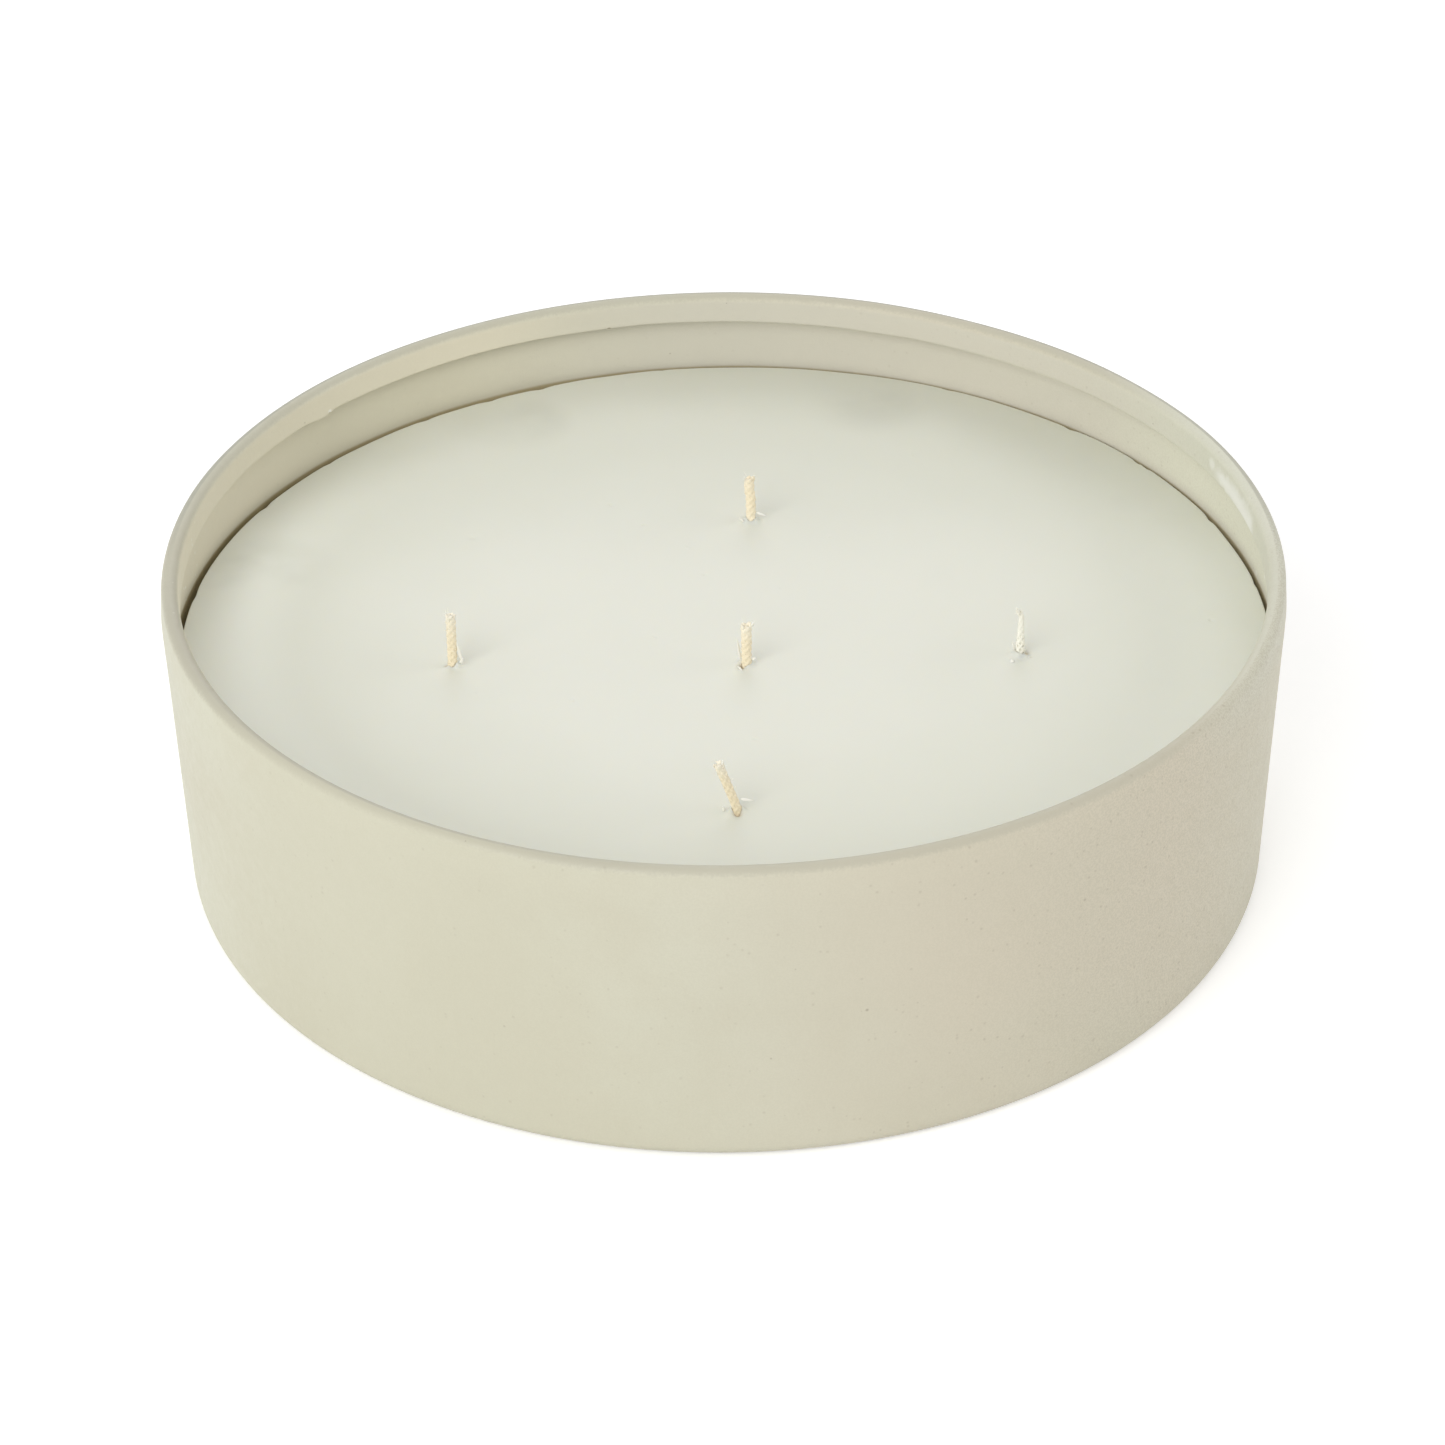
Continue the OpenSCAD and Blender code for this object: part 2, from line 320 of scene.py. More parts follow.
def edge_lines(tree, colour, y, z, azimuth, inside, outside):
    """Painted light below the hem's cut edge on the right, over the shade line there, and a darker line along
    the outer back edge.
    """
    # Painted light: the wall just below the hem's cut edge at the right is made pale, so the shade line under
    # the edge fades.
    spread = sums(tree, "ADD", (azimuth, 100.0, 80.0, 0.0, 0.25), (azimuth, 66.0, 48.0, 0.0, 0.5))
    painted_light_under_hem = product(tree, (z, 0.0632, 0.0655), (z, *UNDER_HEM), spread, (azimuth, -70.0, -30.0), inside)
    colour = tint(tree, painted_light_under_hem, colour, (0.88, 0.85, 0.73))
    back_edge = product(tree, (z, 0.0726, 0.0734), (y, -0.01, 0.03, 0.0, 0.65), outside)
    return tint(tree, back_edge, colour, (0.36, 0.36, 0.30))


def grit(tree, colour, place, x, azimuth, inside, specks):
    """Sandy grain and dark dust, more to the right and less inside, and pale specks inside at the left."""
    sandy = product(tree, (noise(tree, place, 2300.0, 2.0, 0.6), 0.56, 0.44),
                    (x, 0.03, 0.12, 0.10, 0.58), (inside, 0.0, 1.0, 1.0, 0.25))
    colour = tint(tree, sandy, colour, (0.50, 0.47, 0.36))
    dust = product(tree, (x, -0.03, 0.12, 0.35, 0.75), specks, (inside, 0.0, 1.0, 1.0, 0.45), 0.5)
    colour = tint(tree, dust, colour, (0.30, 0.25, 0.17))
    at_left = ramp(tree, sums(tree, "ABSOLUTE", azimuth), 160.0, 172.0)
    return tint(tree, product(tree, specks, inside, at_left), colour, (0.88, 0.88, 0.80))


def pale_glossy_streaks(tree, place, z, azimuth, inside, grain):
    """Pale, glossier streak along the inside of the hem on the right, a small dab above it, and patches
    below.
    """
    run_z = ramp(tree, azimuth, 5.0, 22.0, 0.0681, 0.0692)
    off_run = sums(tree, "ABSOLUTE", sums(tree, "SUBTRACT", z, run_z))
    half_wide = product(tree, (azimuth, 20.0, 12.0, 0.0026, 0.0054), (grain, 0.3, 0.7, 0.7, 1.2))
    run = product(tree, sums(tree, "SUBTRACT", 1.0, (off_run, 0.0, half_wide)),
                  (azimuth, 6.5, 8.5), (azimuth, 20.5, 17.5))
    run = sums(tree, "MAXIMUM", run, product(tree, spot(tree, place, *PALE_DAB), 0.6))
    patches = product(tree, (noise(tree, place, 120.0, 4.0, 0.6), 0.56, 0.62), (azimuth, -4.0, 2.0),
                      (azimuth, 17.0, 12.0), (z, 0.052, 0.055, 0.0, 0.55), (z, *UNDER_HEM))
    return product(tree, sums(tree, "MAXIMUM", run, patches), inside)


def powder_coat():
    """Matt stone-coloured powder: orange-peel grain, pinholes, faint clouds, pale glossier streaks inside,
    and painted light and shade by side.
    """
    material, tree, shader, place = new_material("powder coat", Metallic=0.0, IOR=1.5)
    x, y, z = node(tree, "SeparateXYZ", {0: place}).outputs[:3]
    azimuth = product(tree, sums(tree, "ARCTAN2", y, x), 180 / np.pi)
    inside = point_value(tree, "inner")
    outside = sums(tree, "SUBTRACT", 1.0, inside)
    rough = ramp(tree, spot(tree, place, *ROUGH_PATCH), 0.0, 1.0, 0.0, 0.6)
    fine = grain_of(tree, place, 1500.0, 700.0, 0.34, ramp(tree, x, -0.02, 0.12, 0.10, 0.30))
    coarse = grain_of(tree, place, 420.0, 150.0, 0.07, ramp(tree, x, -0.10, 0.12, 0.15, 0.5))
    pits = grain_of(tree, place, 700.0, 700.0, 0.25, rough)
    # Pale, glossier streak and patches on the inside at the right.
    pale_glossy_film = pale_glossy_streaks(tree, place, z, azimuth, inside, coarse["Grain"])

    colour = stone(tree, place, x, z, inside, fine["Clouds"])
    colour = thin_crown(tree, colour, x, y, z, fine["Grain"])
    colour = side_tones(tree, colour, x, y, z, azimuth, inside, outside)
    colour = edge_lines(tree, colour, y, z, azimuth, inside, outside)
    colour = grit(tree, colour, place, x, azimuth, inside, fine["Specks"])
    pinhole = sums(tree, "MAXIMUM", product(tree, coarse["Specks"], 0.65), pits["Specks"])
    pinhole = sums(tree, "MAXIMUM", pinhole, spot(tree, place, *HEM_HOLE))
    colour = tint(tree, pinhole, colour, (0.26, 0.21, 0.14))
    colour = tint(tree, spot(tree, place, *NOTCH_CRUMB), colour, WAX_CRUMB_TONE)
    colour = tint(tree, product(tree, pale_glossy_film, 0.8), colour, (0.87, 0.87, 0.825))

    matt = ramp(tree, coarse["Grain"], 0.3, 0.7, 0.46, 0.60)
    peel = bump(tree, coarse["Grain"], 0.00012, 0.5)
    grain = bump(tree, fine["Grain"], 0.00006, 0.6, peel)
    pocked = bump(tree, pinhole, 0.0001, 0.6, grain, invert=True)
    finish_shader(tree, shader, colour, sums(tree, "SUBTRACT", matt, product(tree, pale_glossy_film, 0.12)),
                  bump(tree, pale_glossy_film, 0.0002, 0.4, pocked))
    return material


def base_rise(r):
    """Height of the underside at radius r: raised in the middle, with a soft slope to the standing ring."""
    slope_end = bend_centre[0] - STAND_RING_W
    return PANEL_RISE * (1 - smooth(r, slope_end - PANEL_SLOPE_W - 0.5, slope_end + 0.5))


def wall_face(z):
    """Outer radius of the wall at height z: a straight lean, drawn in to the crown below the rolled rim."""
    leaning = WALL_FOOT_R + z * np.tan(WALL_LEAN)
    top = crown_centre[1]
    drawn_in = WALL_FOOT_R + top * np.tan(WALL_LEAN) - crown_centre[0] - CROWN_R
    return leaning - drawn_in * smooth(z, *DRAWN_IN_Z) / smooth(top, *DRAWN_IN_Z)


def bowl_section():
    """Closed half section of the sheet, outside first; each point's way down the fold; which face inwards."""
    panel_r = np.append(np.linspace(4, 104, 9), np.linspace(107, 112.4, 12))
    underside = np.stack([panel_r, base_rise(panel_r)], 1)
    floor = underside[::-1] + [0, SHEET]
    lean, fall = np.degrees(WALL_LEAN), np.degrees(LAYER_LEAN)
    down = np.array([-np.sin(LAYER_LEAN), -np.cos(LAYER_LEAN)])
    face = np.array([-np.cos(LAYER_LEAN), np.sin(LAYER_LEAN)])
    layer_top, layer_back = crown_centre + CROWN_R * face, crown_centre + (CROWN_R - SHEET) * face
    edge = (HEM_H - CROWN_R - COATED_EDGE_R) * down
    wall_z = np.linspace(bend_centre[1] - BEND_R * np.sin(WALL_LEAN), crown_centre[1], 42)[1:-1]
    room_z = np.linspace(bend_centre[1], crown_centre[1], 30)[-2:0:-1]
    before = [underside, line(underside[-1], bend_centre - [0, BEND_R], 4)[1:-1],
              arc(bend_centre, BEND_R, -90, -lean, 10), np.stack([wall_face(wall_z), wall_z], 1),
              arc(crown_centre, CROWN_R, 0, 180 - fall, CROWN_STEPS)]
    folded = [line(layer_top, layer_top + edge, 8)[1:-1],
              arc(layer_top - COATED_EDGE_R * face + edge, COATED_EDGE_R, 180 - fall, 270 - fall, 5),
              arc(layer_back + COATED_EDGE_R * face + edge, COATED_EDGE_R, 270 - fall, 360 - fall, 5),
              line(layer_back + edge, layer_back, 5)[1:-1]]
    after = [arc(crown_centre, CROWN_R - SHEET, 180 - fall, 0, 9),
             np.stack([wall_face(room_z) - SHEET, room_z], 1),
             arc(bend_centre, BEND_R - SHEET, -lean, -90, 6),
             line(bend_centre - [0, BEND_R - SHEET], floor[0], 4)[1:-1], floor]
    before, folded, after = (np.concatenate(part) for part in (before, folded, after))
    depth = (folded - layer_top) @ down / (HEM_H - CROWN_R)
    share = np.concatenate([np.zeros(len(before)), depth, np.zeros(len(after))])
    faces_in = np.arange(len(share)) >= len(before) - CROWN_STEPS // 2
    return np.concatenate([before, folded, after]), share, faces_in


def hem_edge_shift(azimuth):
    """How far above its drawn place the cut edge lies, with a nick and a burr where the fold began."""
    shift = round_trip(azimuth, HEM_EDGE) - (BOWL_H - HEM_H)
    past = (azimuth - NOTCH_AZIMUTH) % 360
    nick = NICK_DEPTH * smooth(past, 0.0, 0.35) * (1 - smooth(past, 1.0, 4.5))
    short = (NOTCH_AZIMUTH - azimuth) % 360
    burr = BURR_H * np.exp(-(((short - 0.3) / 0.3) ** 2))
    return shift - nick - burr


section, leg_share, faces_in = bowl_section()
even_steps = np.arange(BOWL_STEPS) * 360 / BOWL_STEPS
azimuths = np.union1d(even_steps, np.arange(NOTCH_AZIMUTH - 2, NOTCH_AZIMUTH + 3, 0.15))
turn = np.radians(azimuths)
section_r, section_z = section[:, :1], section[:, 1:]
belly = smooth(section_z, 5.0, 50.0) * (1 - smooth(section_z, 56.0, 74.0))
radius = (section_r + round_trip(azimuths, RIM_SHAPE) * smooth(section_z, 52.0, 74.0)
          + round_trip(azimuths, BELLY_SHAPE) * belly)
height = section_z + leg_share[:, None] * hem_edge_shift(azimuths)
rings = np.stack([radius * np.cos(turn), radius * np.sin(turn), height], -1)
poles = np.array([[0, 0, PANEL_RISE], [0, 0, PANEL_RISE + SHEET]])
bowl_points = np.concatenate([rings.reshape(-1, 3), poles])
first_ring = np.arange(len(turn))
last_ring = first_ring + (len(section) - 1) * len(turn)
bowl_faces = [lathe_faces(len(section), len(turn)), fan(len(bowl_points) - 2, first_ring)[:, ::-1],
              fan(len(bowl_points) - 1, last_ring)]
inner = np.append(np.repeat(faces_in, len(turn)), [0, 1])
bowl = new_piece("bowl_coated", bowl_points, bowl_faces, powder_coat(), inner=inner)
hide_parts("bowl")
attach(bowl, "root")

# Adhesive dots
# A punched disc of closed-cell foam tape, sticky on both sides, holds each wick's tab to the floor of the
# bowl while the wax is poured. The wax hides all five.


def foam():
    """Off-white foam: fine open cells as grain, matt all over."""
    material, tree, shader, place = new_material("foam adhesive", Metallic=0.0)
    cells = grain_of(tree, place, 2600.0, 1400.0, 0.30, 0.6)
    colour = tint(tree, cells["Specks"], (0.80, 0.79, 0.75), (0.62, 0.60, 0.54))
    finish_shader(tree, shader, colour, ramp(tree, cells["Grain"], 0.3, 0.7, 0.75, 0.92),
                  bump(tree, cells["Specks"], 0.0001, 0.8, invert=True))
    return material


def new_finish(node_name, material):
    """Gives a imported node, whose shape is right, its own material."""
    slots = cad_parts[node_name].data.materials
    slots.clear()
    slots.append(material)


PLACES = ("back", "left", "middle", "right", "front")
dot_foam = foam()
for which in PLACES:
    new_finish("dot_" + which, dot_foam)

# Wick tabs
# A tab is pressed from bright tinned sheet: a flat flange, a low cone, and a neck crimped on the wick from
# four sides. It stands on its dot and keeps the wick upright in the liquid wax. The wax hides all five.


def tinned_steel():
    """Bright tin over rolled steel: faint spangle in the colour, rolling grain in roughness and bump."""
    material, tree, shader, place = new_material("tinned sheet", Metallic=1.0)
    rolled = node(tree, "Mapping", {"Vector": place, "Scale": (1.0, 0.08, 1.0)}).outputs[0]
    spangle = grain_of(tree, place, 500.0, 900.0, 0.25, 0.2)["Grain"]
    streaks = grain_of(tree, rolled, 4000.0, 900.0, 0.2, 0.2)["Grain"]
    colour = tint(tree, spangle, (0.58, 0.59, 0.60), (0.68, 0.69, 0.70))
    finish_shader(tree, shader, colour, ramp(tree, streaks, 0.3, 0.7, 0.22, 0.38),
                  bump(tree, streaks, 0.00002, 0.5))
    return material


tab_tin = tinned_steel()
for which in PLACES:
    new_finish("tab_" + which, tab_tin)

# Wicks
# Each wick is a cord of eight cotton strands, braided over and under each other and soaked in wax. It runs
# from its tab straight up through the wax and is trimmed by hand above it, so each stub leans, frays and
# ends in its own way.
WAX_Z = 53.3
TAB_Z = 2.6
WICK_R = 1.1
CORE_SIDES = 16
CORE_NECK_Z = (WAX_Z - 2.2, WAX_Z - 1.4)
GRIP_Z = 54.1
FOOT_BEND = 0.05
EACH_WAY = 4
BRAID_TURN = 7.0
BRAID_ROOT_Z = WAX_Z - 2.5
STRAND_RING_R = 0.74
STRAND_OVER = 0.07
STRAND_HALF_WIDE = 0.43
STRAND_HALF_THICK = 0.26
STRAND_SIDES = 8
STRAND_STEPS = 70
FIBRES = 16
FIBRE_R = 0.055
FIBRE_SIDES = 5
FIBRE_MARK = 2.0
# Foot on the wax, top, lean to the right and back in degrees, radius as a share at foot, middle and top,
# how far the strands open at the foot, and how pale the cotton is at foot, middle and top
WICKS = {
    "wick_back": dict(foot=(6.56, 46.6), top=65.2, lean=(-0.3, 1.4), girth=(1.14, 1.16, 1.22), opened=0.0,
                      pale=(0.30, 0.10, 0.30), kink=(-0.30, 0.62), slant=1.2, seed=11),
    "wick_left": dict(foot=(-60.45, -15.0), top=66.8, lean=(0.2, 1.0), girth=(1.08, 1.08, 1.12), opened=0.0,
                      pale=(0.02, 0.15, 0.60), kink=(0.0, 0.5), slant=0.2, seed=12),
    "wick_middle": dict(foot=(4.95, -16.0), top=64.1, lean=(-1.2, -1.0), girth=(1.10, 1.16, 1.20), opened=0.0,
                        pale=(0.15, 0.15, 0.55), kink=(0.1, 0.4), slant=0.3, seed=13),
    # The right wick is palest in the middle: partly its own pale wax coat, partly a painted highlight along
    # its stem.
    "wick_right": dict(foot=(65.90, -12.9), top=64.6, lean=(0.4, 1.5), girth=(0.76, 0.72, 0.56), opened=0.28,
                       pale=(0.85, 1.0, 0.90), kink=(-0.6, 0.95), slant=-1.6, seed=14),
    "wick_front": dict(foot=(2.27, -73.2), top=65.5, lean=(-18.9, 1.4), girth=(1.0, 1.0, 1.06), opened=0.0,
                       pale=(0.05, 0.0, 0.60), kink=(0.0, 0.5), slant=0.6, seed=15),
}


def along(share, values):
    """Value at a share of the free height, from three values at foot, middle and top."""
    return np.interp(share, (0, 0.5, 1), values)


def wick_axis(w, z):
    """Centre line: upright in the wax, leaning above it with a short bend at the foot and a sideways kink."""
    rise = w["top"] - GRIP_Z
    s = np.clip((z - GRIP_Z) / rise, 0, 1.05)
    lean = rise * np.tan(np.radians(w["lean"]))
    side, at = w["kink"]
    bent = (1 + FOOT_BEND) * s * s / (s + FOOT_BEND)
    axis = np.stack([w["foot"][0] + lean[0] * bent, w["foot"][1] + lean[1] * bent, z], -1)
    axis[..., 0] += side * smooth(s, at - 0.08, at + 0.08) * smooth(s, 0.0, 0.2)
    return axis, s


def tubes(paths, outward, half_wide, half_thick, sides):
    """Tubes with an oval section along paths; the oval is thin along outward and wide across it."""
    along_path = np.gradient(paths, axis=1)
    along_path /= np.linalg.norm(along_path, axis=-1, keepdims=True)
    across = np.cross(along_path, outward)
    across /= np.linalg.norm(across, axis=-1, keepdims=True)
    thin = np.cross(along_path, across)
    a = np.arange(sides) * 2 * np.pi / sides
    ring = (np.cos(a)[:, None] * (half_wide[..., None, None] * across[:, :, None])
            + np.sin(a)[:, None] * (half_thick[..., None, None] * thin[:, :, None]))
    points = (paths[:, :, None] + ring).reshape(-1, 3)
    count, steps = paths.shape[:2]
    starts = np.arange(count) * steps * sides
    walls = lathe_faces(steps, sides)
    quads = (starts[:, None, None] + walls).reshape(-1, 4)
    low = starts[:, None] + np.arange(sides)[::-1]
    high = starts[:, None] + (steps - 1) * sides + np.arange(sides)
    return points, [quads, low, high]


def braid(w):
    """Strands at angle +-turn*z + k*90 degrees; the two ways pass over and under by a cosine of that turn."""
    rng = np.random.default_rng(w["seed"])
    count = 2 * EACH_WAY
    way = np.repeat([1.0, -1.0], EACH_WAY)[:, None]
    start = np.tile(np.arange(EACH_WAY) * 2 * np.pi / EACH_WAY, 2)[:, None]
    turning = 2 * np.pi / BRAID_TURN
    ends = w["top"] + rng.uniform(-0.45, 0.15, (count, 1))
    ends = ends + 0.5 * w["slant"] * np.cos(start + way * turning * w["top"])
    even = np.linspace(0, 1, STRAND_STEPS)
    z = BRAID_ROOT_Z + (ends - BRAID_ROOT_Z) * even
    axis, s = wick_axis(w, z)
    turn = start + way * turning * z
    over = way * np.cos(EACH_WAY * turning * z)
    girth = along(s, w["girth"])
    opened = w["opened"] * smooth(s, 0.62, 0.1)
    flare = 0.22 * smooth(s, 0.9, 1.0) * rng.uniform(0.2, 1.4, (count, 1))
    reach = girth * (STRAND_RING_R + STRAND_OVER * over) + opened + flare
    outward = np.stack([np.cos(turn), np.sin(turn), np.zeros_like(turn)], -1)
    end_taper = np.sqrt(np.clip((1.0 - even) / 0.03, 0.12, 1))
    points, faces = tubes(axis + reach[..., None] * outward, outward, STRAND_HALF_WIDE * girth * end_taper,
                          STRAND_HALF_THICK * girth * end_taper, STRAND_SIDES)
    return points, faces, np.repeat(s.reshape(-1), STRAND_SIDES)


def core(w):
    """Wick in the wax, full width from the tab up, and narrower above the wax, where it fills the braid."""
    z = np.concatenate([[TAB_Z], np.linspace(TAB_Z + 0.2, CORE_NECK_Z[0], 24),
                        np.linspace(CORE_NECK_Z[1], w["top"] - 0.6, 24)])
    axis, s = wick_axis(w, z)
    shrink = 1 - (1 - 0.80 * along(s, w["girth"])) * smooth(z, *CORE_NECK_Z)
    r = (WICK_R * shrink)[None]
    outward = np.broadcast_to([1.0, 0.0, 0.0], (1, len(z), 3))
    points, faces = tubes(axis[None], outward, r, r, CORE_SIDES)
    return points, faces, np.repeat(s, CORE_SIDES)


def fibres(w):
    """Loose hairs: each starts in the braid, most of them at the cut end, and curls outwards and up."""
    rng = np.random.default_rng(w["seed"] + 100)
    at_cut = rng.random(FIBRES) < 0.6
    s = np.where(at_cut, rng.uniform(0.93, 1.0, FIBRES), rng.uniform(0.05, 0.9, FIBRES))
    axis, _ = wick_axis(w, GRIP_Z + (w["top"] - GRIP_Z) * s)
    a = rng.uniform(0, 2 * np.pi, FIBRES)
    out = np.stack([np.cos(a), np.sin(a), rng.uniform(-0.2, 0.9, FIBRES)], 1)
    length = rng.uniform(0.4, 1.0, FIBRES)
    curl = rng.normal(0, 0.35, (FIBRES, 3)) + [0, 0, 0.35]
    t = np.linspace(0, 1, 9)[None, :, None]
    root = axis + 0.8 * along(s, w["girth"])[:, None] * out * [1, 1, 0]
    paths = root[:, None] + length[:, None, None] * (out[:, None] * t + curl[:, None] * t * t)
    outward = np.broadcast_to(np.array([0.3, 0.2, 0.93]), paths.shape)
    r = FIBRE_R * (1 - 0.6 * np.broadcast_to(t[..., 0], paths.shape[:2]))
    points, faces = tubes(paths, outward, r, r, FIBRE_SIDES)
    return points, faces, np.full(len(points), FIBRE_MARK)


def waxed_cotton():
    """Cotton soaked in wax: amber where it is wet through, paler where dry, with spun-thread grain."""
    material, tree, shader, place = new_material("waxed cotton", Metallic=0.0, IOR=1.45,
                                                 Sheen_Weight=0.3, Sheen_Roughness=0.5)
    drawn_out = node(tree, "Mapping", {"Vector": place, "Scale": (1.0, 1.0, 0.3)}).outputs[0]
    threads = grain_of(tree, drawn_out, 5200.0, 1600.0, 0.3, 0.15)["Grain"]
    uneven = sums(tree, "ADD", point_value(tree, "pale"), (threads, 0.3, 0.7, -0.14, 0.14))
    colour = tint(tree, ramp(tree, uneven, 0.0, 1.0), (0.90, 0.79, 0.575), (0.93, 0.915, 0.82))
    finish_shader(tree, shader, colour, ramp(tree, threads, 0.3, 0.7, 0.45, 0.7),
                  bump(tree, threads, 0.00008, 0.7))
    return material


def gathered(parts):
    """Joins (points, faces, values) parts into one set, with point numbers moved on."""
    points = np.concatenate([p for p, _, _ in parts])
    starts = np.cumsum([0] + [len(p) for p, _, _ in parts[:-1]])
    faces = [f + start for start, (_, part, _) in zip(starts, parts) for f in part]
    return points, faces, np.concatenate([v for _, _, v in parts])


cotton = waxed_cotton()
for name, w in WICKS.items():
    points, faces, share = gathered([core(w), braid(w), fibres(w)])
    pale = np.where(share == FIBRE_MARK, 1.0, along(np.clip(share, 0, 1), w["pale"]))
    wick = new_piece(name + "_braided", points, faces, cotton, pale=pale)
    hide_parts(name)
    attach(wick, "root")

# Wax
# Off-white wax, poured hot round the wicks. As it set it shrank away from the wall, more on the left than
# at the back, and its upper edge chipped here and there. It climbs each wick and stands in thin torn flakes
# round the feet of those that were bent while trimming.
WAX_EDGE_R = 0.45
WAX_SIDE_Z = (45.0, 30.0, 15.0, 3.0)
WAX_FOOT_R = 2.0
WAX_GRID = 2.2
GRID_REACH = 140
ROW_STEP = 0.866
HOLE_R = 1.15
HOLE_FOOT_Z = 50.0
POOL_R = 10.0
POOL_STEPS = 48
TAB_HOLLOW_R = 8.05
# Half section of the hollow round a wick's foot, tab and dot: radius and height, downwards
TAB_HOLLOW = ((HOLE_R, 7.55), (1.5, 7.55), (1.5, 3.85), (4.05, 2.95), (TAB_HOLLOW_R, 2.95),
              (TAB_HOLLOW_R, 1.8))
EDGE_STEPS = 720
# Radius of the wax's upper edge round the bowl, by azimuth
WAX_EDGE = ((6, 122.8), (15, 122.8), (27, 123.4), (42, 123.7), (48, 123.3), (66, 123.6), (78, 123.1),
            (96, 122.7), (105, 121.9), (114, 121.1), (120, 121.1), (132, 121.4), (144, 121.8), (160, 122.2),
            (180, 122.1), (225, 122.3), (270, 122.5), (330, 122.7))
# Chips along the edge: azimuth, width in degrees, depth
CHIPS = ((152.6, 0.8, 0.7), (172.2, 1.0, 0.5), (126.7, 0.7, 0.6), (118.2, 0.9, 0.8), (111.7, 0.8, 0.9),
         (46.5, 0.7, 0.8), (36.2, 0.6, 0.7), (34.7, 0.5, 0.6), (21.9, 0.7, 0.7), (141.0, 0.6, 0.4),
         (97.0, 0.5, 0.35), (63.0, 0.7, 0.4), (8.0, 0.6, 0.4), (228.0, 0.8, 0.5), (301.0, 0.7, 0.4))
# Marks in the top: place, radius, depth (below zero stands proud)
MARKS = ((-58.4, 41.0, 1.0, 0.18), (-26.2, 55.1, 0.7, 0.12), (6.4, -45.6, 0.5, 0.12),
         (109.9, 1.0, 0.6, 0.15), (-18.7, 45.7, 0.45, 0.12), (-8.2, 35.4, 0.5, 0.10),
         (-4.3, 22.9, 0.45, 0.12), (45.9, 77.8, 0.5, 0.14), (24.9, 39.3, 0.45, 0.10),
         (-15.5, -3.7, 0.45, 0.10), (-33.6, -29.4, 0.55, -0.12))
# Ridges of wax at each wick's foot: azimuth, spread in degrees, height (below zero is a hollow), reach
COLLARS = {
    "wick_back": ((200, 40, 1.1, 0.9), (-25, 40, 1.0, 1.0), (90, 60, 0.5, 0.8)),
    "wick_left": ((-35, 35, 0.7, 0.8), (60, 70, 0.4, 0.8), (185, 20, -0.5, 0.6)),
    "wick_middle": ((150, 35, 0.9, 0.7), (15, 45, 0.6, 0.7), (210, 36, -0.9, 0.8)),
    "wick_right": ((-95, 45, 0.8, 0.7), (170, 60, 0.7, 0.8), (30, 40, -0.7, 1.0)),
    "wick_front": ((175, 40, 0.7, 0.8), (20, 40, 0.8, 0.8), (-85, 45, -0.8, 0.6)),
}
feet = {name: np.array(w["foot"]) for name, w in WICKS.items()}


def around(angle, centre, spread):
    """Bell over an angle, all in degrees: 1 at the centre, falling as a Gaussian of the given spread."""
    away = (angle - centre + 180) % 360 - 180
    return np.exp(-((away / spread) ** 2))


def wax_top(x, y):
    """Height of the top, from slow waves, a ridged rise at each wick, and marks; how much painted shade its
    hollows get.
    """
    z = WAX_Z + 0.10 * np.sin(x / 31 + 0.7) * np.cos(y / 37 - 0.4) + 0.05 * np.sin(x / 13 - y / 17)
    dark = np.zeros_like(z)
    for name, foot in feet.items():
        angle = np.degrees(np.arctan2(y - foot[1], x - foot[0]))
        beyond = np.clip(np.hypot(x - foot[0], y - foot[1]) - HOLE_R, 0, None)
        climb = 0.45 * np.exp(-beyond / 0.5)
        for centre, spread, high, reach in COLLARS[name]:
            bell = around(angle, centre, spread)
            climb = climb + high * bell * np.exp(-((beyond / reach) ** 1.6))
            if high < 0:
                dark = np.maximum(dark, bell * np.exp(-((beyond / (0.9 * reach)) ** 2)))
        ripple = 0.16 * np.sin(3 * np.radians(angle) + foot[0]) * np.exp(-((beyond / 1.6) ** 2))
        swell = 0.14 * np.exp(-((beyond / 4.5) ** 2))
        z = z + climb + ripple + swell
    for mx, my, size, depth in MARKS:
        z = z - depth * np.exp(-((np.hypot(x - mx, y - my) / size) ** 3))
    return z, dark


def edge_wear(azimuth):
    """How far the upper edge is worn back at an azimuth: chips at their places and a fine unevenness."""
    wear = 0.06 * np.sin(np.radians(azimuth) * 23) * np.sin(np.radians(azimuth) * 7 + 1) + 0.06
    for centre, width, depth in CHIPS:
        wear = wear + depth * around(azimuth, centre, width)
    return wear


def polar(centre, radii, steps):
    """Rings of points round a centre, each ring turned by half a step against the one inside it."""
    ring, step = np.meshgrid(np.arange(len(radii)), np.arange(steps), indexing="ij")
    a = (step + 0.5 * (ring % 2)) * 2 * np.pi / steps
    places = np.stack([centre[0] + radii[ring] * np.cos(a), centre[1] + radii[ring] * np.sin(a)], -1)
    return places.reshape(-1, 2)


def flat_mesh(rims, fill):
    """Triangles inside the first rim and outside the others; fill is the points between them."""
    points = np.concatenate(rims + [fill])
    edges, start = [], 0
    for rim in rims:
        number = np.arange(start, start + len(rim))
        edges += np.stack([number, np.roll(number, -1)], 1).tolist()
        start += len(rim)
    made = delaunay_2d_cdt([Vector(p) for p in points], edges, [], 1, 1e-5)
    places, triangles = np.array([tuple(p) for p in made[0]]), np.array([tuple(f) for f in made[2]])
    for rim in rims[1:]:
        centre = rim.mean(0)
        on_rim = np.hypot(*(places - centre).T) < np.hypot(*(rim - centre).T).max() + 1e-3
        triangles = triangles[~on_rim[triangles].all(1)]
    return places, triangles


